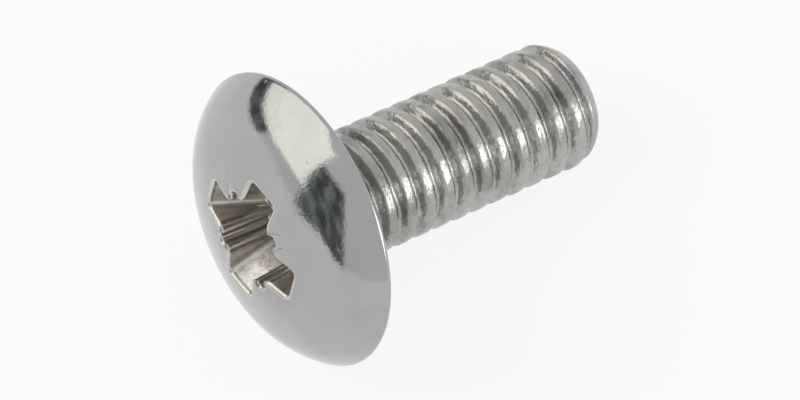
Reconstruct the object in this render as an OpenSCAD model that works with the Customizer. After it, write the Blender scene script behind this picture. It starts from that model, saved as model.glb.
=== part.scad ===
// Machine screw with a low domed pan head, a cross recess with four fine extra grooves, and a metric thread.
// It is one piece, cold-headed, thread-rolled and plated, and it lies the way it comes to rest on a table.
// It is drawn upright about the Z axis, head up and bearing face on the XY plane, and laid down at the end.

/* [Head] */
// Diameter of the head over its rim
head_d = 9.2; // [8.6:0.1:10]
// Height of the head from its bearing face to the crown
head_h = 2; // [1.8:0.05:2.4]
// Radius of the shallow arc over the crown
crown_r = 8.4; // [8.4:0.1:10]
// Radius of the tighter arc where the dome falls to the rim
shoulder_r = 2.7; // [2.3:0.1:3.1]
// Radius of the rounded rim between the dome and the bearing face
rim_r = 0.12; // [0.08:0.01:0.2]
// Radius of the fillet where the neck joins the bearing face
neck_fillet = 0.25; // [0.24:0.02:0.4]

/* [Thread] */
// Nominal diameter of the thread
thread_d = 4; // [3.6:0.1:4.6]
// Pitch of the thread
pitch = 0.7; // [0.6:0.05:0.8]
// Length from the bearing face to the tip
shank_l = 10; // [6:1:20]
// Amount by which the plated thread stays under its nominal diameter
thread_allowance = 0.12; // [0.04:0.01:0.16]
// Length of the plain neck between the bearing face and the thread
neck_l = 0.8; // [0.6:0.1:1.4]
// Length over which the thread rises out of the neck
runout_l = 0.6; // [0.4:0.1:0.8]
// Length of the chamfer at the tip
tip_chamfer_l = 0.6; // [0.4:0.1:0.8]
// Depth of the chamfer at the tip, measured on the radius
tip_chamfer_depth = 0.44; // [0.3:0.02:0.5]

/* [Cross recess] */
// Reach of each wing from the axis, level with the crown
wing_reach = 2.2; // [2:0.05:2.3]
// Width of each wing
wing_w = 1.16; // [1:0.02:1.24]
// Slope of the wings' ends against the axis, in degrees
wing_slope = 26.5; // [24:0.5:28]
// Depth of the wings' ends below the crown
recess_depth = 1.9; // [1.7:0.05:2.1]
// Radius of the round well between the wings, level with the crown
well_r = 1.3; // [1.2:0.02:1.36]
// Slope of the well's wall against the axis, in degrees
well_slope = 5; // [4:1:8]
// Angle of the point at the bottom of the recess against the axis, in degrees
point_angle = 66; // [60:1:70]
// Reach of the four fine grooves between the wings, level with the crown
groove_reach = 1.5; // [1.44:0.02:1.56]
// Width of the four fine grooves
groove_w = 0.34; // [0.26:0.02:0.4]
// Turn of the recess about the axis, from a wing that points straight up, in degrees
recess_turn = 5; // [-45:5:45]

/* [Tick marks] */
// Distance from the axis at which a tick mark starts
tick_start = 1.85; // [1.75:0.05:2]
// Length of a tick mark
tick_l = 0.75; // [0.5:0.05:0.9]
// Width of a tick mark
tick_w = 0.14; // [0.1:0.02:0.2]
// Depth of a tick mark
tick_depth = 0.06; // [0.04:0.01:0.1]

/* [Detail] */
// Flat facets round one turn of the thread
thread_sides = 36; // [24:4:48]
// Fineness of the round faces
round_fn = 96; // [64:16:192]

/* [Hidden] */
plating = [0.74, 0.73, 0.71];

head_r = head_d / 2;
crest_r = (thread_d - thread_allowance) / 2;
// A 60 degree outer thread is 0.6134 of its pitch deep, and its crest is an eighth of the pitch wide
thread_depth = 0.6134 * pitch;
crest_w = pitch / 8;
flank_w = thread_depth * tan(30);
root_w = pitch - crest_w - 2 * flank_w;
root_r = crest_r - thread_depth;
// On the side that lies on the table, the last full crest ends half its width above the tip's chamfer
last_crest_z = tip_chamfer_l - shank_l + crest_w / 2;
// Rolling moves metal from the roots to the crests, so the neck keeps the radius of the blank
neck_r = crest_r - thread_depth / 2;
// Under the neck the thread starts this much below the neck's surface
runout_step = 0.03;

// Centres of the three arcs of the head's profile, each arc tangent to the next
crown_c = [0, head_h - crown_r];
rim_c = [head_r - rim_r, rim_r];
shoulder_c = tangent_centre(crown_c, crown_r - shoulder_r, rim_c, shoulder_r - rim_r);
// Point where the crown's arc runs on into the shoulder's
shoulder_top = crown_c + crown_r * (shoulder_c - crown_c) / norm(shoulder_c - crown_c);

// Height above the crown from which the recess is cut
clear = 0.5;
// Share of the recess's depth that the fine grooves reach
groove_share = 0.85;

// The screw rests on its rounded rim and on a facet of the last full crest, so its axis slopes down to the tip
rest_run = rim_r - last_crest_z;
rest_fall = rim_c[0] - crest_r * cos(180 / thread_sides);
rest_tilt = atan(rest_fall / rest_run) + asin(rim_r / norm([rest_run, rest_fall]));
// Circles that bound the lying screw, as [distance from the axis, height over the bearing face, rounding]
rim_circle = [rim_c[0], rim_c[1], rim_r];
tip_circle = [crest_r - tip_chamfer_depth, -shank_l, 0];
shoulder_circle = [shoulder_c[0], shoulder_c[1], shoulder_r];
table_z = lying_z(rim_circle) - rim_r;
head_end_x = lying_x(shoulder_circle, -1) - shoulder_r;
tip_end_x = lying_x(tip_circle, 1);

// Centre at distance a from point p and at distance b from point q, on the left of the way from p to q
function tangent_centre(p, a, q, b) =
    let (
        d = norm(q - p),
        along = (a * a - b * b + d * d) / (2 * d),
        aside = sqrt(a * a - along * along),
        way = (q - p) / d
    )
    p + along * way + aside * [-way[1], way[0]];

// Height of an arc's upper side at a distance from the axis
function arc_z(centre, radius, r) = centre[1] + sqrt(radius * radius - pow(r - centre[0], 2));

// Height of the dome at a distance from the axis
function dome_z(r) = r < shoulder_top[0] ? arc_z(crown_c, crown_r, r) : arc_z(shoulder_c, shoulder_r, r);

// Lowest height of a circle round the axis once the screw lies
function lying_z(circle) = circle[1] * sin(rest_tilt) - circle[0] * cos(rest_tilt);

// Place of a circle along the table once the screw lies, on its lower (-1) or upper (1) side
function lying_x(circle, side) = -circle[1] * cos(rest_tilt) + side * circle[0] * sin(rest_tilt);

// Radius and height of the profile's corners over one pitch, from one crest up to the next
thread_profile = [
    [crest_r, 0],
    [crest_r, crest_w],
    [root_r, crest_w + flank_w],
    [root_r, crest_w + flank_w + root_w],
];

// Share of the full thread at a height: none inside the neck, rising smoothly over the run-out
function runout(z) = let (t = min(1, max(0, (-neck_l - z) / runout_l))) t * t * (3 - 2 * t);

// Radius of the threaded rod at a height, from the profile's own radius there
function rod_r(profile_r, z) = let (start_r = neck_r - runout_step) start_r + (profile_r - start_r) * runout(z);

// Part of a round disc between two rays from its centre, each drawn through a point
module arc_sector(centre, radius, from_point, to_point) {
    intersection() {
        translate(centre) circle(radius, $fn = round_fn);
        polygon([centre, centre + 2 * (from_point - centre), centre + 2 * (to_point - centre)]);
    }
}

// Profile of the head from the axis to the rim, above the bearing face
module head_profile() {
    crown_top = [0, head_h];
    intersection() {
        union() {
            arc_sector(crown_c, crown_r, crown_top, shoulder_top);
            arc_sector(shoulder_c, shoulder_r, shoulder_top, rim_c);
            polygon([shoulder_c, rim_c, [rim_c[0], 0], [0, 0]]);
            translate(rim_c) circle(rim_r, $fn = round_fn);
        }
        square([head_d, head_d]);
    }
}

// Head, fillet and plain neck, turned about the axis
module head_and_neck() {
    rotate_extrude($fn = round_fn) head_profile();
    rotate_extrude($fn = round_fn) {
        translate([0, -neck_l]) square([neck_r, neck_l + head_h / 2]);
        difference() {
            translate([0, -neck_fillet]) square([neck_r + neck_fillet, neck_fillet + rim_r]);
            translate([neck_r + neck_fillet, -neck_fillet]) circle(neck_fillet, $fn = round_fn);
        }
    }
}

// Threaded rod, longer than the shank at both ends
module threaded_rod() {
    rows_a_turn = len(thread_profile);
    // Half a turn on from the start, a facet of a crest lies lowest, with its lower corner at last_crest_z
    first_z = last_crest_z - (2.5 - 0.5 / thread_sides) * pitch;
    turns = ceil((-neck_l / 2 - first_z) / pitch);
    rows = turns * rows_a_turn;
    rod = [
        for (row = [0 : rows + rows_a_turn])
            let (corner = thread_profile[row % rows_a_turn], turn = floor(row / rows_a_turn))
            for (side = [0 : thread_sides - 1])
                let (
                    share = (side + 0.5) / thread_sides,
                    z = first_z + pitch * (turn + share) + corner[1],
                    r = rod_r(corner[0], z),
                    angle = 360 * share
                )
                [r * cos(angle), r * sin(angle), z]
    ];
    ends = [[0, 0, first_z + pitch / 2], [0, 0, first_z + (turns + 0.5) * pitch]];
    // Past the last side a row runs on into the row one turn above it
    function at(row, side) =
        side < thread_sides ? row * thread_sides + side : (row + rows_a_turn) * thread_sides;
    low_edge = concat(
        [for (side = [0 : thread_sides]) at(0, side)],
        [for (row = [rows_a_turn - 1 : -1 : 1]) at(row, 0)]
    );
    high_edge = concat(
        [for (side = [0 : thread_sides]) at(rows, side)],
        [for (row = [rows + rows_a_turn - 1 : -1 : rows + 1]) at(row, 0)]
    );
    flanks = [
        for (row = [0 : rows - 1], side = [0 : thread_sides - 1])
            let (a = at(row, side), b = at(row, side + 1), c = at(row + 1, side + 1), d = at(row + 1, side))
            each [[a, c, b], [a, d, c]]
    ];
    low_end = [
        for (i = [0 : len(low_edge) - 1])
            [len(rod), low_edge[i], low_edge[(i + 1) % len(low_edge)]]
    ];
    high_end = [
        for (i = [0 : len(high_edge) - 1])
            [len(rod) + 1, high_edge[(i + 1) % len(high_edge)], high_edge[i]]
    ];
    polyhedron(concat(rod, ends), concat(flanks, low_end, high_end));
}

// Space that the finished thread fills: cut square at the tip, with the tip's chamfer
module thread_envelope() {
    rotate_extrude($fn = round_fn) polygon([
        [0, -shank_l],
        [crest_r - tip_chamfer_depth, -shank_l],
        [crest_r + tip_chamfer_depth, -shank_l + 2 * tip_chamfer_l],
        [crest_r + tip_chamfer_depth, head_h / 2],
        [0, head_h / 2],
    ]);
}

// Two opposite slots in one cut: straight sides, ends that slope in, and a shallow point below
module slot_pair(reach, width, depth, slope) {
    end = reach - depth * tan(slope);
    top = reach + clear * tan(slope);
    translate([0, 0, head_h]) rotate([90, 0, 0]) linear_extrude(width, center = true) polygon([
        [-top, clear],
        [-end, -depth],
        [0, -depth - end / tan(point_angle)],
        [end, -depth],
        [top, clear],
    ]);
}

// Round well with a pointed bottom, which clears the corners between the wings
module well() {
    end_r = well_r - recess_depth * tan(well_slope);
    top_r = well_r + clear * tan(well_slope);
    rotate_extrude($fn = round_fn) translate([0, head_h]) polygon([
        [0, clear],
        [0, -recess_depth - end_r / tan(point_angle)],
        [end_r, -recess_depth],
        [top_r, clear],
    ]);
}

// Cross recess: four wings, the well between them, and four fine grooves half way between the wings
module recess() {
    rotate(recess_turn) {
        for (turn = [0, 90]) {
            rotate(turn) slot_pair(wing_reach, wing_w, recess_depth, wing_slope);
            rotate(turn + 45) slot_pair(groove_reach, groove_w, groove_share * recess_depth, well_slope);
        }
        well();
    }
}

// Shallow radial line pressed into the dome: a V groove with sides that run on above the surface
module tick_mark() {
    tick_end = tick_start + tick_l;
    slope = atan((dome_z(tick_start) - dome_z(tick_end)) / tick_l);
    translate([tick_start, 0, dome_z(tick_start)]) rotate([0, slope, 0])
        rotate([90, 0, 90]) linear_extrude(tick_l / cos(slope)) polygon([
            [0, -tick_depth],
            [tick_w, tick_depth],
            [-tick_w, tick_depth],
        ]);
}

// Whole screw, upright
module upright_screw() {
    difference() {
        union() {
            head_and_neck();
            intersection() {
                threaded_rod();
                thread_envelope();
            }
        }
        recess();
        for (turn = [45 : 90 : 315]) rotate(recess_turn + turn) tick_mark();
    }
}

// Whole screw, lying on the table with its head to the left
module screw() {
    color(plating) translate([-(head_end_x + tip_end_x) / 2, 0, -table_z])
        rotate([0, rest_tilt - 90, 0]) upright_screw();
}

screw();
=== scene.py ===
"""Dresses the lying machine screw: its dome, punched cross recess and rolled thread, in bright plating.

Lengths are in millimetres in the screw's own upright frame, head up, with the bearing face at height 0. One
matrix then lays the finished mesh down on the table, in metres, where the frame's solid lies.
"""

import logging
import math
from dataclasses import dataclass, field
from enum import Enum

import bmesh
import bpy
import numpy as np
from mathutils import Euler, Matrix, Vector


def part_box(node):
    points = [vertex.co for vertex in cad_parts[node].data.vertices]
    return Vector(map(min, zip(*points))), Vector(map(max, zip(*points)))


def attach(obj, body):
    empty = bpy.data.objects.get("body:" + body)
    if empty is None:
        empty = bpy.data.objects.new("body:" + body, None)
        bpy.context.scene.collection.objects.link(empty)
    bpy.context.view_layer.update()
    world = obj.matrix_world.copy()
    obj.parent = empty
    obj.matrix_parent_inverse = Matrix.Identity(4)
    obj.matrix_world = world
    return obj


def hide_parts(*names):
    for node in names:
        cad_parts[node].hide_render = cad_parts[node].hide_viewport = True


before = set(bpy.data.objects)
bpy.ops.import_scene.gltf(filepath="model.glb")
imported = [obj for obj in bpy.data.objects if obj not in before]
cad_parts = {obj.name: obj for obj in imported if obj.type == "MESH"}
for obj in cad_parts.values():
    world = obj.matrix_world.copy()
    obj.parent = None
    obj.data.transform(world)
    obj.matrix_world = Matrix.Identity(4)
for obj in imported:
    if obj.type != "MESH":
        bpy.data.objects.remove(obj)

LOG = logging.getLogger("screw")
MM = 0.001
NODE = "screw"
BODY = "root"
# Points round the axis in every ring of the mesh
SIDES = 256
# Points closer than this become one, which closes the joins between the parts of the mesh.
# At 0.002 it would also pinch the fine fan at the recess's bottom, and at 0.00001 the joins stay open.
SEAM = 0.0003
# Where each run of the recess's outline ends, counted in points from the middle of a wing's end
END_EDGE, END_CORNER, WING_SIDE, LAND_CORNER, LAND, GROOVE = 5, 10, 18, 22, 26, 32
Color = tuple[float, float, float]
Points = np.ndarray


class Region(Enum):
    """The screw's three surfaces, each with its own finish, in the order of the mesh's material slots."""

    DOME = 0
    RECESS = 1
    THREAD = 2


class Term:
    """A number that flows through a node tree, so that a formula reads as arithmetic."""

    def __init__(self, tree: bpy.types.NodeTree, source: bpy.types.NodeSocket) -> None:
        """Keeps the tree and the socket that the value comes from."""
        self.tree = tree
        self.source = source

    def math(self, operation: str, *others: "Term | float") -> "Term":
        """Adds a Math node.

        Args:
            operation: The node's operation, such as ADD.
            others: The values that follow this one.

        Returns:
            The node's result.
        """
        made = self.tree.nodes.new("ShaderNodeMath")
        made.operation = operation
        for socket, value in zip(made.inputs, (self, *others)):
            if isinstance(value, Term):
                self.tree.links.new(value.source, socket)
            else:
                socket.default_value = value
        return Term(self.tree, made.outputs[0])

    def __add__(self, other: "Term | float") -> "Term":
        """Returns the sum."""
        return self.math("ADD", other)

    def __sub__(self, other: "Term | float") -> "Term":
        """Returns the difference."""
        return self.math("SUBTRACT", other)

    def __mul__(self, other: "Term | float") -> "Term":
        """Returns the product."""
        return self.math("MULTIPLY", other)

    def __truediv__(self, other: "Term | float") -> "Term":
        """Returns the quotient."""
        return self.math("DIVIDE", other)

    def clamped(self) -> "Term":
        """Returns the value held between 0 and 1."""
        return self.math("MAXIMUM", 0.0).math("MINIMUM", 1.0)

    def eased(self) -> "Term":
        """Returns the value held between 0 and 1, with a soft start and a soft end."""
        held = self.clamped()
        return held * held * (held * -2.0 + 3.0)

    def ramp(self, low: float, high: float) -> "Term":
        """Returns 0 below low and 1 above high, with a soft rise between them."""
        return ((self - low) / (high - low)).eased()


@dataclass(frozen=True)
class HeadSizes:
    """Sizes of the head and the neck, as in the solid."""

    diameter: float = 9.2
    height: float = 2.0
    crown_radius: float = 8.4
    shoulder_radius: float = 2.7
    rim_radius: float = 0.12
    neck_fillet: float = 0.25
    neck_length: float = 0.8

    @property
    def crown_centre(self) -> Points:
        """Centre of the crown's arc, as distance from the axis and height."""
        return np.array([0.0, self.height - self.crown_radius])

    @property
    def rim_centre(self) -> Points:
        """Centre of the rounded rim's arc."""
        return np.array([self.diameter / 2 - self.rim_radius, self.rim_radius])

    @property
    def shoulder_centre(self) -> Points:
        """Centre of the arc that touches both the crown's arc and the rim's."""
        start, end = self.crown_centre, self.rim_centre
        far, near = self.crown_radius - self.shoulder_radius, self.shoulder_radius - self.rim_radius
        reach = float(np.linalg.norm(end - start))
        along = (far**2 - near**2 + reach**2) / (2 * reach)
        aside = math.sqrt(far**2 - along**2)
        way = (end - start) / reach
        return start + along * way + aside * np.array([-way[1], way[0]])

    @property
    def shoulder_start(self) -> float:
        """Distance from the axis at which the crown runs on into the shoulder."""
        way = self.shoulder_centre - self.crown_centre
        return float(self.crown_radius * way[0] / np.linalg.norm(way))

    @property
    def rim_slope(self) -> float:
        """Angle of the dome against the bearing face where it meets the rounded rim, in radians."""
        way = self.rim_centre - self.shoulder_centre
        return float(np.arctan2(way[0], way[1]))

    def dome(self, distance: Points) -> Points:
        """Height of the dome over the bearing face.

        Args:
            distance: Distances from the axis.

        Returns:
            The height at each distance.
        """
        turn = self.shoulder_centre
        crown = self.crown_centre[1] + np.sqrt(self.crown_radius**2 - distance**2)
        beyond = np.clip(distance - turn[0], 0.0, self.shoulder_radius)
        shoulder = turn[1] + np.sqrt(self.shoulder_radius**2 - beyond**2)
        return np.where(distance < self.shoulder_start, crown, shoulder)


@dataclass(frozen=True)
class ThreadSizes:
    """Sizes of the thread and tip, as in the solid, with the flats and rounding that rolling leaves."""

    nominal: float = 4.0
    pitch: float = 0.7
    length: float = 10.0
    allowance: float = 0.12
    runout: float = 0.6
    chamfer_length: float = 0.6
    chamfer_depth: float = 0.44
    facets_in_solid: int = 36
    crest_flat: float = 0.2
    root_fill: float = 0.16
    tip_round: float = 0.08
    tip_crown: float = 0.03
    corner_round: float = 0.22
    unevenness: float = 0.06
    rows_a_turn: int = 14

    @property
    def crest_radius(self) -> float:
        """Radius of the crests, which stay under the nominal size."""
        return (self.nominal - self.allowance) / 2

    @property
    def depth(self) -> float:
        """Depth of a 60 degree outer thread."""
        return 0.6134 * self.pitch

    @property
    def root_radius(self) -> float:
        """Radius of the roots, which rolling leaves a little fuller than the solid's sharp ones."""
        return self.crest_radius - self.depth + self.root_fill

    @property
    def crest_width(self) -> float:
        """Width of the solid's crest, an eighth of the pitch."""
        return self.pitch / 8

    @property
    def neck_radius(self) -> float:
        """Radius of the blank that the thread was rolled on."""
        return self.crest_radius - self.depth / 2

    @property
    def tip_radius(self) -> float:
        """Radius of the flat at the tip, before its edge is rounded."""
        return self.crest_radius - self.chamfer_depth

    @property
    def last_crest(self) -> float:
        """Height of the last full crest on the side that lies on the table."""
        return self.chamfer_length - self.length + self.crest_width / 2


@dataclass(frozen=True)
class RestingPose:
    """How the screw lies: on its rim and its last full crest, with the head to the left."""

    head: HeadSizes
    thread: ThreadSizes

    @property
    def tilt(self) -> float:
        """Slope of the axis down towards the tip, in radians."""
        flat = self.thread.crest_radius * math.cos(math.pi / self.thread.facets_in_solid)
        run = self.head.rim_radius - self.thread.last_crest
        fall = self.head.rim_centre[0] - flat
        return math.atan(fall / run) + math.asin(self.head.rim_radius / math.hypot(run, fall))

    @property
    def turn(self) -> Euler:
        """Turn from the upright frame to the lying one."""
        return Euler((0.0, self.tilt - math.pi / 2, 0.0))

    def place(self, lowest: Vector) -> Vector:
        """Where the upright frame's origin lies.

        Args:
            lowest: Lowest corner of the solid's box, in metres.

        Returns:
            The place in metres.
        """
        rim, crown = self.head.rim_centre, self.head.crown_centre
        table = rim[1] * math.sin(self.tilt) - rim[0] * math.cos(self.tilt) - self.head.rim_radius
        # The axis slopes less than the crown's end does, so the head's farthest point lies on the crown
        end = -crown[1] * math.cos(self.tilt) - self.head.crown_radius
        return Vector((lowest[0] - end * MM, 0.0, lowest[2] - table * MM))

    def matrix(self, lowest: Vector) -> Matrix:
        """Matrix from the upright frame in millimetres to the table's frame in metres."""
        return Matrix.LocRotScale(self.place(lowest), self.turn, Vector((MM, MM, MM)))


def mix(start: "Points | float", end: "Points | float", share: "Points | float") -> Points:
    """Returns what lies at a share of the way from start to end."""
    return start + (end - start) * share


def ease(share: "Points | float") -> "Points | float":
    """Returns the share with a soft start and a soft end."""
    return share * share * (3 - 2 * share)


def ring(radius: "Points | float", angle: Points, height: "Points | float") -> Points:
    """Returns a ring of points at given distances from the axis, angles in radians and heights."""
    level = np.ones(SIDES)
    return np.stack([radius * np.cos(angle), radius * np.sin(angle), height * level], axis=1)


def towards(azimuth: float, elevation: float) -> Vector:
    """Returns the direction at an azimuth and an elevation, in radians."""
    level = math.cos(elevation)
    return Vector((math.cos(azimuth) * level, math.sin(azimuth) * level, math.sin(elevation)))


class RingMesh:
    """A closed skin laid from ring to ring, each ring with the same number of points."""

    def __init__(self) -> None:
        """Starts with no rings."""
        self.rings: list[Points] = []
        self.regions: list[Region] = []

    def add(self, points: Points, region: Region) -> None:
        """Adds a ring, and says whose finish the band that leads to it takes."""
        self.rings.append(points)
        self.regions.append(region)

    def mesh(self, name: str, bottom: "Points | None" = None, top: "Points | None" = None) -> bpy.types.Mesh:
        """Makes the mesh.

        Args:
            name: Name of the mesh.
            bottom: Point that closes the first ring, if any.
            top: Point that closes the last ring, if any.

        Returns:
            The mesh, with a material number on each face.
        """
        points = np.concatenate(self.rings)
        here = np.arange(SIDES)
        after = (here + 1) % SIDES
        faces, numbers = [], []
        for k in range(1, len(self.rings)):
            low, high = (k - 1) * SIDES, k * SIDES
            faces += np.stack([low + here, low + after, high + after, high + here], axis=1).tolist()
            numbers += [self.regions[k].value] * SIDES
        ends = ((bottom, 0, self.regions[0]), (top, len(points) - SIDES, self.regions[-1]))
        for centre, first, region in ends:
            if centre is not None:
                points = np.vstack([points, centre])
                pole = np.full(SIDES, len(points) - 1)
                faces += np.stack([first + after, first + here, pole], axis=1).tolist()
                numbers += [region.value] * SIDES
        made = bpy.data.meshes.new(name)
        made.from_pydata(points.tolist(), [], faces)
        made.polygons.foreach_set("material_index", numbers)
        return made


@dataclass(frozen=True)
class CrossRecess:
    """The punched recess: four wings, a well between them, four fine grooves and a shallow pointed bottom."""

    head: HeadSizes
    reach: float = 2.2
    width: float = 1.16
    end_slope: float = 26.5
    side_slope: float = 2.5
    well_radius: float = 1.3
    well_slope: float = 5.0
    point_depth: float = 2.42
    point_angle: float = 66.0
    groove_reach: float = 1.5
    groove_width: float = 0.34
    end_corner: float = 0.2
    land_corner: float = 0.2
    mouth_round: float = 0.12
    turn: float = 5.0

    def outline(self, down: Points) -> Points:
        """Outline of the recess, counter-clockwise from the middle of the first wing's end.

        Args:
            down: Depth under the crown of each of its points.

        Returns:
            The points, as distances along the first wing and across it.
        """
        number = np.arange(SIDES)
        quarter, step = number // (SIDES // 4), number % (SIDES // 4)
        falling = step > SIDES // 8
        step = np.where(falling, SIDES // 4 - step, step)
        reach = self.reach - down * math.tan(math.radians(self.end_slope))
        half = self.width / 2 - down * math.tan(math.radians(self.side_slope))
        well = self.well_radius - down * math.tan(math.radians(self.well_slope))
        groove = self.groove_reach - down * math.tan(math.radians(self.well_slope))
        slot = self.groove_width / 2
        diagonal = math.sqrt(0.5)

        def pair(along: Points, across: Points) -> Points:
            """Returns points from their two coordinates."""
            return np.stack([along, across], axis=1)

        def round_corner(start: Points, corner: Points, end: Points, share: Points) -> Points:
            """Returns points on a soft curve that leaves start and reaches end, both towards the corner."""
            return mix(mix(start, corner, share), mix(corner, end, share), share)

        corner = pair(reach, half)
        land = pair(np.sqrt(well**2 - half**2), half)
        flank = np.sqrt(well**2 - slot**2)
        lip = pair((flank + slot) * diagonal, (flank - slot) * diagonal)
        way = (lip - land) / np.linalg.norm(lip - land, axis=1, keepdims=True)
        end_start, end_finish = pair(reach, half - self.end_corner), pair(reach - self.end_corner, half)
        land_start, land_finish = land + [self.land_corner, 0.0], land + way * self.land_corner
        bow = np.radians(90.0 * np.clip((step - LAND) / (GROOVE - LAND), 0.0, 1.0))
        out, aside = mix(flank, groove, np.sin(bow) ** 0.8), slot * np.cos(bow) ** 0.7
        in_groove = pair((out + aside) * diagonal, (out - aside) * diagonal)
        share = step[:, None].astype(float)

        def part(start: int, end: int) -> Points:
            """Returns each point's share of the way along a run of the outline."""
            return (share - start) / (end - start)

        runs = [
            (step <= END_EDGE, mix(pair(reach, 0 * half), end_start, share / END_EDGE)),
            (step <= END_CORNER, round_corner(end_start, corner, end_finish, part(END_EDGE, END_CORNER))),
            (step <= WING_SIDE, mix(end_finish, land_start, part(END_CORNER, WING_SIDE))),
            (step <= LAND_CORNER, round_corner(land_start, land, land_finish, part(WING_SIDE, LAND_CORNER))),
            (step <= LAND, mix(land_finish, lip, part(LAND_CORNER, LAND))),
            (step <= GROOVE, in_groove),
        ]
        points = np.zeros((SIDES, 2))
        for chosen, run in reversed(runs):
            points = np.where(chosen[:, None], run, points)
        points = np.where(falling[:, None], points[:, ::-1], points)
        angle = quarter * math.pi / 2
        return np.stack(
            [
                points[:, 0] * np.cos(angle) - points[:, 1] * np.sin(angle),
                points[:, 0] * np.sin(angle) + points[:, 1] * np.cos(angle),
            ],
            axis=1,
        )

    def turned(self, points: Points) -> Points:
        """Returns the outline's points turned to where the recess stands in the head."""
        angle = math.radians(self.turn)
        cos, sin = math.cos(angle), math.sin(angle)
        return points @ np.array([[cos, sin], [-sin, cos]])

    def at_surface(self, offset: "float | Points", rounds: int = 6) -> Points:
        """Depths at which the outline's points meet the dome.

        Args:
            offset: Depth under the dome's surface.
            rounds: How often the depths are worked out again from the points.

        Returns:
            The depth under the crown of each point.
        """
        down = np.zeros(SIDES)
        for _ in range(rounds):
            distance = np.linalg.norm(self.outline(down), axis=1)
            down = self.head.height - self.head.dome(distance) + offset
        return down

    def at_floor(self, rounds: int = 6) -> Points:
        """Returns the depth under the crown where each point of the outline meets the pointed bottom."""
        down = np.full(SIDES, self.point_depth)
        for _ in range(rounds):
            distance = np.linalg.norm(self.outline(down), axis=1)
            down = self.point_depth - distance / math.tan(math.radians(self.point_angle))
        return down

    def lay(self, skin: RingMesh) -> Points:
        """Lays the recess from its bottom to its mouth.

        Args:
            skin: The skin that the rings are added to.

        Returns:
            The point at the bottom, which closes the first ring.
        """
        floor, mouth = self.at_floor(), self.at_surface(self.mouth_round)
        foot = self.turned(self.outline(floor))
        level = self.head.height - floor
        lowest = self.head.height - self.point_depth
        for share in (0.12, 0.3, 0.5, 0.7, 0.86, 0.95):
            skin.add(np.column_stack([foot * share, mix(lowest, level, share)]), Region.RECESS)
        for share in (0.0, 0.02, 0.06, 0.13, 0.22, 0.32, 0.42, 0.52, 0.62, 0.72, 0.82, 0.9, 0.96, 1.0):
            down = mix(floor, mouth, share)
            points = np.column_stack([self.turned(self.outline(down)), self.head.height - down])
            skin.add(points, Region.RECESS)
        edge = self.turned(self.outline(mouth))
        along = np.roll(edge, -1, axis=0) - np.roll(edge, 1, axis=0)
        outwards = np.column_stack([along[:, 1], -along[:, 0]])
        outwards /= np.linalg.norm(outwards, axis=1, keepdims=True)
        for lean in np.radians((18.0, 36.0, 54.0, 72.0, 90.0)):
            points = edge + outwards * self.mouth_round * (1 - math.cos(lean))
            height = self.head.dome(np.linalg.norm(points, axis=1)) - self.mouth_round * (1 - math.sin(lean))
            skin.add(np.column_stack([points, height]), Region.RECESS)
        return np.array([0.0, 0.0, lowest])


@dataclass(frozen=True)
class TickMarks:
    """Four shallow radial lines pressed into the dome, half way between the wings."""

    start: float = 1.85
    length: float = 0.75
    width: float = 0.14
    depth: float = 0.01
    soft_end: float = 0.07

    def sink(self, distance: Points, angle: Points) -> Points:
        """How far the lines lower the dome.

        Args:
            distance: Distances from the axis.
            angle: Angles from the first wing, in radians.

        Returns:
            The depth at each point.
        """
        aside = np.abs(angle % (math.pi / 2) - math.pi / 4) * distance
        across = np.clip(1 - aside / (self.width / 2), 0.0, 1.0)
        from_end = np.minimum(distance - self.start, self.start + self.length - distance)
        return self.depth * across * ease(np.clip(from_end / self.soft_end, 0.0, 1.0))


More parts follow.
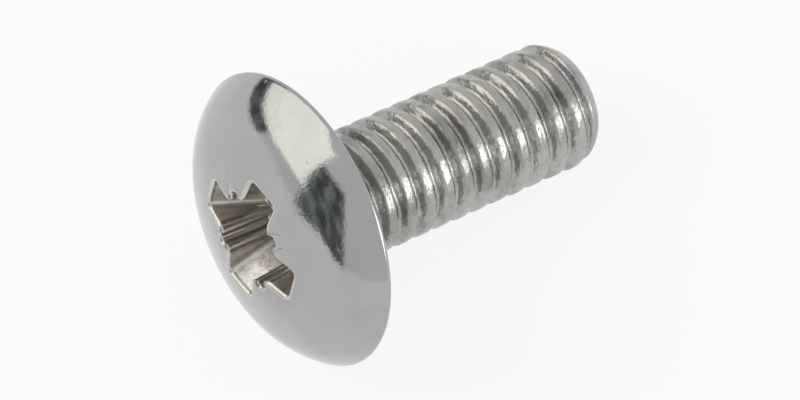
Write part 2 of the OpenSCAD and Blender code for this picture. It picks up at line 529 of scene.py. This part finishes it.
@dataclass
class DomedHead:
    """The head from the bottom of its recess over the dome and the rim to the end of the plain neck."""

    sizes: HeadSizes
    thread: ThreadSizes
    recess: CrossRecess
    ticks: TickMarks = field(default_factory=TickMarks)
    even_from: float = 3.0
    crowding: float = 0.3

    def angles(self) -> Points:
        """Returns the points' angles on the dome, crowded towards the tick marks, from the first wing."""
        number = np.arange(SIDES)
        quarter, step = number // (SIDES // 4), number % (SIDES // 4)
        left = np.abs(step / (SIDES // 8) - 1.0)
        aside = math.pi / 4 * left * (self.crowding + (1 - self.crowding) * left)
        return quarter * math.pi / 2 + math.pi / 4 + np.sign(step - SIDES // 8) * aside

    def lay_dome(self, skin: RingMesh) -> None:
        """Lays the dome from the mouth of the recess to the rounded rim."""
        edge = skin.rings[-1]
        turn = math.radians(self.recess.turn)
        distance = np.linalg.norm(edge[:, :2], axis=1)
        angle = np.unwrap(np.arctan2(edge[:, 1], edge[:, 0])) - turn
        target = self.angles()
        angle = angle - 2 * math.pi * np.round((angle - target)[0] / (2 * math.pi))
        for share in np.linspace(0.0, 1.0, 33)[1:]:
            r = mix(distance, self.even_from, share)
            a = mix(angle, target, ease(min(1.0, share * 2.2)))
            skin.add(ring(r, a + turn, self.sizes.dome(r) - self.ticks.sink(r, a)), Region.DOME)
        first = math.asin((self.even_from) / self.sizes.crown_radius)
        last = math.asin(self.sizes.shoulder_start / self.sizes.crown_radius)
        for lean in np.linspace(first, last, 5)[1:]:
            r = self.sizes.crown_radius * math.sin(lean)
            skin.add(ring(r, target + turn, float(self.sizes.dome(np.array(r)))), Region.DOME)
        centre = self.sizes.shoulder_centre
        for lean in np.linspace(last, self.sizes.rim_slope, 25)[1:]:
            r, z = centre + self.sizes.shoulder_radius * np.array([math.sin(lean), math.cos(lean)])
            skin.add(ring(r, target + turn, z), Region.DOME)

    def lay_underside(self, skin: RingMesh) -> None:
        """Lays the rounded rim, the bearing face, its fillet and the plain neck."""
        turn = math.radians(self.recess.turn)
        target = self.angles() + turn
        even = np.arange(SIDES) * 2 * math.pi / SIDES
        centre = self.sizes.rim_centre
        for lean in np.linspace(self.sizes.rim_slope, math.pi, 11)[1:]:
            r, z = centre + self.sizes.rim_radius * np.array([math.sin(lean), math.cos(lean)])
            skin.add(ring(r, target, z), Region.DOME)
        neck, fillet = self.thread.neck_radius, self.sizes.neck_fillet
        for share in (0.03, 0.1, 0.25, 0.4, 0.55, 0.7, 0.85, 0.96, 1.0):
            skin.add(ring(mix(centre[0], neck + fillet, share), mix(target, even, share), 0.0), Region.DOME)
        for lean in np.radians((12.0, 25.0, 40.0, 55.0, 70.0, 90.0)):
            r, z = neck + fillet * (1 - math.sin(lean)), -fillet * (1 - math.cos(lean))
            skin.add(ring(r, even, z), Region.THREAD)
        for z in np.linspace(-fillet, -self.sizes.neck_length, 5)[1:]:
            skin.add(ring(neck, even, z), Region.THREAD)

    def mesh(self) -> bpy.types.Mesh:
        """Returns the head's mesh, closed at the recess and open at the end of the neck."""
        skin = RingMesh()
        bottom = self.recess.lay(skin)
        self.lay_dome(skin)
        self.lay_underside(skin)
        return skin.mesh("head", bottom=bottom)


@dataclass
class RolledThread:
    """The threaded shank from the neck to the tip. A node tree works out its helix from named sizes."""

    sizes: ThreadSizes
    head: HeadSizes
    seed: float = 7.0

    def inputs(self) -> dict[str, float]:
        """Returns the tree's named inputs and their values, in millimetres."""
        s = self.sizes
        return {
            "Pitch": s.pitch,
            "Crest radius": s.crest_radius,
            "Crest share": (s.crest_width + s.crest_flat) / s.pitch,
            "Crest middle": s.crest_width / 2 / s.pitch,
            "Root radius": s.root_radius,
            "Neck radius": s.neck_radius,
            "Tip radius": s.tip_radius - s.tip_round,
            "Neck height": -self.head.neck_length,
            "Tip height": -s.length,
            "Run-out": s.runout,
            "Chamfer length": s.chamfer_length,
            "First height": s.last_crest - (2.5 - 0.5 / s.facets_in_solid) * s.pitch,
            "Corner round": s.corner_round,
            "Unevenness": s.unevenness,
            "Seed": self.seed,
        }

    def tree(self, finish: bpy.types.Material) -> bpy.types.NodeTree:
        """Builds the tree that winds a flat grid into the threaded shank.

        Args:
            finish: Material of the thread.

        Returns:
            The tree.
        """
        tree = bpy.data.node_groups.new("Rolled thread", "GeometryNodeTree")
        tree.interface.new_socket("Geometry", in_out="INPUT", socket_type="NodeSocketGeometry")
        for name in ("Turns", "Rows a turn"):
            tree.interface.new_socket(name, in_out="INPUT", socket_type="NodeSocketInt")
        for name in self.inputs():
            tree.interface.new_socket(name, in_out="INPUT", socket_type="NodeSocketFloat")
        tree.interface.new_socket("Geometry", in_out="OUTPUT", socket_type="NodeSocketGeometry")
        nodes, links = tree.nodes, tree.links
        entry, leave = nodes.new("NodeGroupInput"), nodes.new("NodeGroupOutput")
        value = {name: Term(tree, entry.outputs[name]) for name in ("Turns", "Rows a turn", *self.inputs())}

        grid = nodes.new("GeometryNodeMeshGrid")
        rows = value["Turns"] * value["Rows a turn"]
        links.new(rows.source, grid.inputs["Size X"])
        links.new((rows + 1.0).source, grid.inputs["Vertices X"])
        grid.inputs["Size Y"].default_value = 1.0
        grid.inputs["Vertices Y"].default_value = SIDES + 1

        place, split = nodes.new("GeometryNodeInputPosition"), nodes.new("ShaderNodeSeparateXYZ")
        links.new(place.outputs[0], split.inputs[0])
        turned = (Term(tree, split.outputs["X"]) + rows * 0.5) / value["Rows a turn"]
        share = Term(tree, split.outputs["Y"]) + 0.5
        pitch = value["Pitch"]
        raw = value["First height"] + pitch * (turned + share)
        height = raw.math("MAXIMUM", value["Tip height"]).math("MINIMUM", value["Neck height"])

        # Share of the way up a flank, from the distance to the middle of the nearest crest, in pitches
        half_crest = value["Crest share"] * 0.5
        flank = (value["Crest radius"] - value["Root radius"]) * math.tan(math.radians(30)) / pitch
        middle = (turned - value["Crest middle"] + 0.5).math("FRACT")
        aside = (middle - 0.5).math("ABSOLUTE")
        climb = (flank + half_crest - aside) / flank
        corner = value["Corner round"]
        climb = climb.math("SMOOTH_MIN", 1.0, corner).math("SMOOTH_MAX", 0.0, corner)
        radius = value["Root radius"] + (value["Crest radius"] - value["Root radius"]) * climb

        angle = share * (2 * math.pi)
        cos, sin = angle.math("COSINE"), angle.math("SINE")
        where, noise = nodes.new("ShaderNodeCombineXYZ"), nodes.new("ShaderNodeTexNoise")
        noise.noise_dimensions = "4D"
        noise.inputs["Scale"].default_value = 1.3
        noise.inputs["Detail"].default_value = 2.0
        for term, socket in ((cos * 2.0, "X"), (sin * 2.0, "Y"), (height * 1.6, "Z")):
            links.new(term.source, where.inputs[socket])
        links.new(where.outputs[0], noise.inputs["Vector"])
        links.new(value["Seed"].source, noise.inputs["W"])
        wave = Term(tree, noise.outputs[0]) - 0.62
        radius = radius + (wave * value["Unevenness"] * climb).math("MINIMUM", 0.0)

        grown = ((value["Neck height"] - height) / value["Run-out"]).eased()
        radius = value["Neck radius"] + (radius - value["Neck radius"]) * grown
        from_tip = ((height - value["Tip height"]) / value["Chamfer length"]).clamped()
        tip = value["Tip radius"]
        envelope = tip + (value["Crest radius"] - tip) * from_tip.math("POWER", 0.5)
        radius = radius.math("MINIMUM", envelope)

        wound, move = nodes.new("ShaderNodeCombineXYZ"), nodes.new("GeometryNodeSetPosition")
        for term, socket in ((radius * cos, "X"), (radius * sin, "Y"), (height, "Z")):
            links.new(term.source, wound.inputs[socket])
        merge, smooth = nodes.new("GeometryNodeMergeByDistance"), nodes.new("GeometryNodeSetShadeSmooth")
        merge.inputs["Distance"].default_value = 0.001
        realize, dress = nodes.new("GeometryNodeRealizeInstances"), nodes.new("GeometryNodeSetMaterial")
        dress.inputs["Material"].default_value = finish
        links.new(grid.outputs["Mesh"], move.inputs["Geometry"])
        links.new(wound.outputs[0], move.inputs["Position"])
        chain = (move, merge, smooth, realize, dress, leave)
        for before, after in zip(chain, chain[1:]):
            links.new(before.outputs[0], after.inputs[0])
        return tree

    def mesh(self, finish: bpy.types.Material) -> bpy.types.Mesh:
        """Winds the thread and bakes it.

        Args:
            finish: Material of the thread.

        Returns:
            The shank's mesh, open at the neck and at the tip.
        """
        carrier = bpy.data.objects.new("thread_carrier", bpy.data.meshes.new("thread_carrier"))
        bpy.context.scene.collection.objects.link(carrier)
        modifier = carrier.modifiers.new("Rolled thread", "NODES")
        tree = self.tree(finish)
        modifier.node_group = tree
        entries = [item for item in tree.interface.items_tree if item.in_out == "INPUT"]
        identifiers = {item.name: item.identifier for item in entries}
        span = self.sizes.length - self.head.neck_length
        modifier[identifiers["Turns"]] = math.ceil(span / self.sizes.pitch) + 3
        modifier[identifiers["Rows a turn"]] = self.sizes.rows_a_turn
        for name, number in self.inputs().items():
            modifier[identifiers[name]] = float(number)
        graph = bpy.context.evaluated_depsgraph_get()
        made = bpy.data.meshes.new_from_object(carrier.evaluated_get(graph))
        carrier.modifiers.remove(modifier)
        bpy.data.objects.remove(carrier)
        made.polygons.foreach_set("material_index", [Region.THREAD.value] * len(made.polygons))
        LOG.info("thread: %d faces", len(made.polygons))
        return made

    def tip(self) -> bpy.types.Mesh:
        """Returns the slightly crowned end of the shank, with its rounded edge."""
        s = self.sizes
        even = np.arange(SIDES) * 2 * math.pi / SIDES
        flat = s.tip_radius - s.tip_round
        skin = RingMesh()
        for share in (1.0, 0.97, 0.92, 0.84, 0.72, 0.56, 0.4, 0.24, 0.1):
            sag = s.tip_crown * (1 - share**2)
            skin.add(ring(flat * share, even, -s.length - sag), Region.THREAD)
        return skin.mesh("tip", top=np.array([0.0, 0.0, -s.length - s.tip_crown]))


@dataclass(frozen=True)
class NickelFinish:
    """Bright plating with the soft mottling, streaks and handling marks of one region of the screw."""

    name: str
    color: Color
    dark_color: Color
    stain: float
    roughness: float
    roughness_spread: float
    mottle_scale: float
    mottle_depth: float
    grain_scale: tuple[float, float, float]
    grain_depth: float
    scuffs: float
    seed: float

    def material(self, pose: RestingPose, place: Vector) -> bpy.types.Material:
        """Builds the material.

        Args:
            pose: How the screw lies, which turns the pattern with it.
            place: Where the upright frame's origin lies, in metres.

        Returns:
            The material, whose patterns are in millimetres in the upright frame.
        """
        material = bpy.data.materials.new(self.name)
        material.use_nodes = True
        material.metallic = 1.0
        material.diffuse_color = (*self.color, 1.0)
        tree = material.node_tree
        nodes, links = tree.nodes, tree.links
        shader = nodes["Principled BSDF"]
        shader.inputs["Metallic"].default_value = 1.0
        upright = nodes.new("ShaderNodeMapping")
        upright.vector_type = "TEXTURE"
        upright.inputs["Location"].default_value = place
        upright.inputs["Rotation"].default_value = pose.turn
        upright.inputs["Scale"].default_value = (MM, MM, MM)
        links.new(nodes.new("ShaderNodeTexCoord").outputs["Object"], upright.inputs["Vector"])

        def noise(scale: tuple[float, float, float], detail: float, shift: float) -> Term:
            """Returns a seeded noise with so many waves a millimetre along each axis."""
            stretch, made = nodes.new("ShaderNodeMapping"), nodes.new("ShaderNodeTexNoise")
            stretch.inputs["Scale"].default_value = scale
            made.noise_dimensions = "4D"
            made.inputs["Scale"].default_value = 1.0
            made.inputs["Detail"].default_value = detail
            made.inputs["W"].default_value = self.seed + shift
            links.new(upright.outputs[0], stretch.inputs[0])
            links.new(stretch.outputs[0], made.inputs["Vector"])
            return Term(tree, made.outputs[0])

        def bump(height: Term, depth: float, base: "bpy.types.NodeSocket | None") -> bpy.types.NodeSocket:
            """Returns the normal of a relief of so many millimetres on top of another."""
            made = nodes.new("ShaderNodeBump")
            made.inputs["Distance"].default_value = depth * MM
            links.new(height.source, made.inputs["Height"])
            if base is not None:
                links.new(base, made.inputs["Normal"])
            return made.outputs[0]

        even = (self.mottle_scale,) * 3
        mottle, grain = noise(even, 2.0, 0.0), noise(self.grain_scale, 3.0, 3.0)
        cloud, fleck = noise((0.7, 0.7, 0.7), 3.0, 5.0), noise((9.0, 9.0, 9.0), 1.0, 8.0)
        scuff = fleck.ramp(0.7, 0.76) * cloud.ramp(0.45, 0.6) * self.scuffs
        stain = (cloud.ramp(0.42, 0.72) * 0.6 + grain.ramp(0.45, 0.8) * 0.4) * self.stain
        blend = nodes.new("ShaderNodeMix")
        blend.data_type = "RGBA"
        blend.inputs["A"].default_value = (*self.color, 1.0)
        blend.inputs["B"].default_value = (*self.dark_color, 1.0)
        links.new(stain.clamped().source, blend.inputs["Factor"])
        links.new(blend.outputs["Result"], shader.inputs["Base Color"])
        spread = self.roughness_spread
        rough = (mottle - 0.5) * spread + (cloud - 0.5) * spread + self.roughness
        links.new((rough + scuff * 0.25).clamped().source, shader.inputs["Roughness"])
        relief = bump(mottle, self.mottle_depth, None)
        relief = bump(grain, self.grain_depth, relief)
        links.new(bump(scuff, -0.004, relief), shader.inputs["Normal"])
        return material


FINISHES: dict[Region, NickelFinish] = {
    Region.DOME: NickelFinish(
        name="plated_dome",
        color=(0.422, 0.43, 0.425),
        dark_color=(0.31, 0.31, 0.3),
        stain=0.4,
        roughness=0.1,
        roughness_spread=0.06,
        mottle_scale=2.6,
        mottle_depth=0.005,
        grain_scale=(11.0, 11.0, 11.0),
        grain_depth=0.0022,
        scuffs=0.8,
        seed=2.0,
    ),
    Region.RECESS: NickelFinish(
        name="plated_recess",
        color=(0.6, 0.575, 0.545),
        dark_color=(0.28, 0.25, 0.225),
        stain=0.8,
        roughness=0.24,
        roughness_spread=0.14,
        mottle_scale=4.0,
        mottle_depth=0.004,
        grain_scale=(8.0, 8.0, 0.9),
        grain_depth=0.012,
        scuffs=0.5,
        seed=11.0,
    ),
    Region.THREAD: NickelFinish(
        name="plated_thread",
        color=(0.45, 0.445, 0.42),
        dark_color=(0.17, 0.165, 0.15),
        stain=1.0,
        roughness=0.25,
        roughness_spread=0.2,
        mottle_scale=4.5,
        mottle_depth=0.02,
        grain_scale=(3.0, 3.0, 9.0),
        grain_depth=0.03,
        scuffs=0.6,
        seed=23.0,
    ),
}


@dataclass
class PanHeadScrew:
    """The whole screw: head, thread and tip in one closed skin, laid down where the solid lies."""

    head: HeadSizes = field(default_factory=HeadSizes)
    thread: ThreadSizes = field(default_factory=ThreadSizes)

    @property
    def pose(self) -> RestingPose:
        """How the screw lies."""
        return RestingPose(self.head, self.thread)

    def piece(self) -> bpy.types.Object:
        """Builds, dresses and lays down the screw.

        Returns:
            The finished object, which stands for the frame's node.
        """
        lowest = Vector(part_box(NODE)[0])
        place = self.pose.place(lowest)
        finishes = [FINISHES[region].material(self.pose, place) for region in Region]
        shank = RolledThread(self.thread, self.head)
        head = DomedHead(self.head, self.thread, CrossRecess(self.head))
        parts = [head.mesh(), shank.mesh(finishes[Region.THREAD.value]), shank.tip()]
        skin = bmesh.new()
        for part in parts:
            skin.from_mesh(part)
        bmesh.ops.remove_doubles(skin, verts=skin.verts, dist=SEAM)
        bmesh.ops.dissolve_degenerate(skin, edges=skin.edges, dist=0.0001)
        bmesh.ops.recalc_face_normals(skin, faces=skin.faces)
        open_edges = sum(1 for edge in skin.edges if len(edge.link_faces) != 2)
        skin.transform(self.pose.matrix(lowest))
        # The crest that bears on the table has a small flat there
        for vertex in skin.verts:
            vertex.co.z = max(vertex.co.z, lowest.z)
        mesh = bpy.data.meshes.new("plated_screw")
        skin.to_mesh(mesh)
        skin.free()
        for finish in finishes:
            mesh.materials.append(finish)
        mesh.polygons.foreach_set("use_smooth", [True] * len(mesh.polygons))
        made = bpy.data.objects.new("plated_screw", mesh)
        bpy.context.scene.collection.objects.link(made)
        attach(made, BODY)
        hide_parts(NODE)
        triangles = sum(len(face.vertices) - 2 for face in mesh.polygons)
        LOG.info("screw: %d triangles, %d edges that aren't shared by two faces", triangles, open_edges)
        return made


@dataclass(frozen=True)
class PhotoCamera:
    """The camera at the photograph's angle. Pixels count from the picture's upper left corner."""

    pose: RestingPose
    image_width: float = 800.0
    image_height: float = 400.0
    azimuth: float = -34.165
    elevation: float = 62.36
    lens: float = 560.0
    sensor: float = 36.0
    pixels_a_mm: float = 34.12
    rim_pixel: tuple[float, float] = (294.7, 219.5)

    def place(self, lowest: Vector) -> bpy.types.Object:
        """Sets up the camera so that the middle of the rim lands on its pixel.

        Args:
            lowest: Lowest corner of the solid's box, in metres.

        Returns:
            The scene's camera.
        """
        azimuth, elevation = math.radians(self.azimuth), math.radians(self.elevation)
        right = Vector((math.cos(azimuth), math.sin(azimuth), 0.0))
        back = towards(azimuth - math.pi / 2, elevation)
        up = back.cross(right)
        distance = self.image_width * self.lens / (self.sensor * self.pixels_a_mm)
        rim = self.pose.matrix(lowest) @ Vector((0.0, 0.0, self.pose.head.rim_radius))
        aside = (self.image_width / 2 - self.rim_pixel[0]) / self.pixels_a_mm
        above = (self.rim_pixel[1] - self.image_height / 2) / self.pixels_a_mm
        data = bpy.data.cameras.new("photo_camera")
        data.lens, data.sensor_width, data.sensor_fit = self.lens, self.sensor, "HORIZONTAL"
        data.clip_start, data.clip_end = 0.01, 5.0
        camera = bpy.data.objects.new("photo_camera", data)
        turn = Matrix((right, up, back)).transposed().to_4x4()
        place = rim + (right * aside + up * above + back * distance) * MM
        camera.matrix_world = Matrix.Translation(place) @ turn
        bpy.context.scene.collection.objects.link(camera)
        bpy.context.scene.camera = camera
        return camera


@dataclass(frozen=True)
class Softbox:
    """A soft-edged light or dark area round the object that only its gloss sees, like a card in a studio."""

    name: str
    azimuth: tuple[float, float]
    elevation: tuple[float, float]
    color: Color
    strength: float
    edge: float = 0.2
    opacity: float = 1.0
    mottle: float = 0.0
    radius: float = 0.2

    def build(self, centre: Vector) -> bpy.types.Object:
        """Builds the card as a patch of a sphere round the object.

        Args:
            centre: Middle of the sphere, in metres.

        Returns:
            The stage object.
        """
        steps = 24
        mesh = bpy.data.meshes.new(self.name)
        skin = bmesh.new()
        layer = skin.loops.layers.uv.new("area")
        corners = {}
        for i in range(steps + 1):
            for j in range(steps + 1):
                azimuth = math.radians(mix(*self.azimuth, i / steps))
                elevation = math.radians(mix(*self.elevation, j / steps))
                corners[i, j] = skin.verts.new(centre + towards(azimuth, elevation) * self.radius)
        for i in range(steps):
            for j in range(steps):
                keys = ((i, j), (i + 1, j), (i + 1, j + 1), (i, j + 1))
                face = skin.faces.new([corners[key] for key in keys])
                for loop, key in zip(face.loops, keys):
                    loop[layer].uv = (key[0] / steps, key[1] / steps)
        skin.to_mesh(mesh)
        skin.free()
        mesh.materials.append(self.material())
        card = bpy.data.objects.new(self.name, mesh)
        card.visible_camera = card.visible_diffuse = card.visible_shadow = False
        card.visible_transmission = card.visible_volume_scatter = False
        bpy.context.scene.collection.objects.link(card)
        return card

    def material(self) -> bpy.types.Material:
        """Returns the card's material: plain light that fades out towards its edges."""
        material = bpy.data.materials.new(self.name)
        material.use_nodes = True
        tree = material.node_tree
        nodes, links = tree.nodes, tree.links
        nodes.clear()
        area, split = nodes.new("ShaderNodeUVMap"), nodes.new("ShaderNodeSeparateXYZ")
        area.uv_map = "area"
        links.new(area.outputs[0], split.inputs[0])
        mask = None
        for axis in ("X", "Y"):
            place = Term(tree, split.outputs[axis])
            from_edge = ((place - 0.5).math("ABSOLUTE") * -1.0 + 0.5) / self.edge
            mask = from_edge.eased() if mask is None else mask * from_edge.eased()
        if self.mottle:
            noise = nodes.new("ShaderNodeTexNoise")
            noise.inputs["Scale"].default_value = 5.0
            noise.inputs["Detail"].default_value = 3.0
            links.new(area.outputs[0], noise.inputs["Vector"])
            mask = mask * (Term(tree, noise.outputs[0]).ramp(0.35, 0.6) * self.mottle + (1 - self.mottle))
        kinds = ("ShaderNodeEmission", "ShaderNodeBsdfTransparent", "ShaderNodeMixShader")
        light, clear, join = (nodes.new(kind) for kind in kinds)
        light.inputs["Color"].default_value = (*self.color, 1.0)
        light.inputs["Strength"].default_value = self.strength
        links.new((mask * self.opacity).source, join.inputs[0])
        links.new(clear.outputs[0], join.inputs[1])
        links.new(light.outputs[0], join.inputs[2])
        links.new(join.outputs[0], nodes.new("ShaderNodeOutputMaterial").inputs["Surface"])
        return material


@dataclass
class Studio:
    """Pale floor, soft light and the cards that the plating reflects."""

    floor_half: float = 3.0
    floor_color: float = 0.8
    floor_glow: float = 0.88
    world_diffuse: float = 0.6
    world_glossy: float = 0.8
    key_power: float = 0.35
    cards: tuple[Softbox, ...] = (
        Softbox("cream_box", (92.0, 170.0), (8.0, 70.0), (1.0, 0.975, 0.89), 1.7, edge=0.08),
        Softbox("dark_stand", (88.0, 140.0), (-18.0, 26.0), (0.05, 0.065, 0.07), 1.0, edge=0.08, mottle=0.2),
        Softbox("dark_room", (-196.0, -154.0), (-10.0, 54.0), (0.07, 0.085, 0.09), 1.0, edge=0.14, mottle=0.3),
        Softbox("bright_strip", (-82.0, -28.0), (3.0, 34.0), (1.0, 1.0, 1.0), 3.5, edge=0.25),
    )

    @staticmethod
    def seen_directly(tree: bpy.types.NodeTree) -> Term:
        """Returns 1 for rays from the camera, from gloss and through glass, and 0 for the rest."""
        path = tree.nodes.new("ShaderNodeLightPath")
        names = ("Is Camera Ray", "Is Glossy Ray", "Is Transmission Ray")
        camera, glossy, through = (Term(tree, path.outputs[name]) for name in names)
        return (camera + glossy + through).clamped()

    def floor(self) -> bpy.types.Object:
        """Returns the pale floor, which keeps the object's soft shadow."""
        material = bpy.data.materials.new("pale_floor")
        material.use_nodes = True
        tree = material.node_tree
        nodes, links = tree.nodes, tree.links
        nodes.clear()
        kinds = ("ShaderNodeBsdfDiffuse", "ShaderNodeEmission", "ShaderNodeMixShader")
        matt, glow, join = (nodes.new(kind) for kind in kinds)
        matt.inputs["Color"].default_value = (self.floor_color,) * 3 + (1.0,)
        glow.inputs["Color"].default_value = (1.0, 1.0, 1.0, 1.0)
        links.new((self.seen_directly(tree) * self.floor_glow).source, join.inputs[0])
        links.new(matt.outputs[0], join.inputs[1])
        links.new(glow.outputs[0], join.inputs[2])
        links.new(join.outputs[0], nodes.new("ShaderNodeOutputMaterial").inputs["Surface"])
        mesh = bpy.data.meshes.new("floor")
        half = self.floor_half
        corners = [(-half, -half, 0), (half, -half, 0), (half, half, 0), (-half, half, 0)]
        mesh.from_pydata(corners, [], [(0, 1, 2, 3)])
        mesh.materials.append(material)
        floor = bpy.data.objects.new("floor", mesh)
        floor.location.z = -0.00001
        bpy.context.scene.collection.objects.link(floor)
        return floor

    def world(self) -> bpy.types.World:
        """Returns the world: white to the camera, a plain even light to the rest."""
        world = bpy.data.worlds.new("studio")
        world.use_nodes = True
        tree = world.node_tree
        background = tree.nodes["Background"]
        background.inputs["Color"].default_value = (1.0, 1.0, 1.0, 1.0)
        path = tree.nodes.new("ShaderNodeLightPath")
        camera, glossy = Term(tree, path.outputs["Is Camera Ray"]), Term(tree, path.outputs["Is Glossy Ray"])
        through = Term(tree, path.outputs["Is Transmission Ray"])
        seen = (camera + through).clamped() * (1 - self.world_diffuse)
        strength = seen + glossy * (self.world_glossy - self.world_diffuse)
        tree.links.new((strength + self.world_diffuse).source, background.inputs["Strength"])
        bpy.context.scene.world = world
        return world

    def key(self, centre: Vector) -> bpy.types.Object:
        """Returns the soft lamp that casts the object's shadow, high behind it on the left."""
        data = bpy.data.lights.new("key", "AREA")
        data.energy, data.size = self.key_power, 0.16
        lamp = bpy.data.objects.new("key", data)
        way = towards(math.radians(145.0), math.radians(50.0))
        lamp.location = centre + way * 0.3
        lamp.rotation_euler = way.to_track_quat("Z", "Y").to_euler()
        lamp.visible_camera = lamp.visible_glossy = False
        bpy.context.scene.collection.objects.link(lamp)
        return lamp

    def build(self, centre: Vector) -> None:
        """Sets the stage round a point."""
        self.world()
        self.floor()
        self.key(centre)
        for card in self.cards:
            card.build(centre)
        settings = bpy.context.scene.view_settings
        settings.view_transform = "Standard"


def main() -> None:
    """Builds the screw, the camera and the studio, and notes the screw's face counts and what it rides on."""
    logging.basicConfig(level=logging.INFO, format="%(name)s %(message)s")
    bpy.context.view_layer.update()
    lowest = Vector(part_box(NODE)[0])
    screw = PanHeadScrew()
    piece = screw.piece()
    PhotoCamera(screw.pose).place(lowest)
    middle = screw.pose.matrix(lowest) @ Vector((0.0, 0.0, 1.0))
    Studio().build(middle)
    LOG.info("%s rides on %s and stands for %s", piece.name, BODY, NODE)


if __name__ == "__main__":
    main()
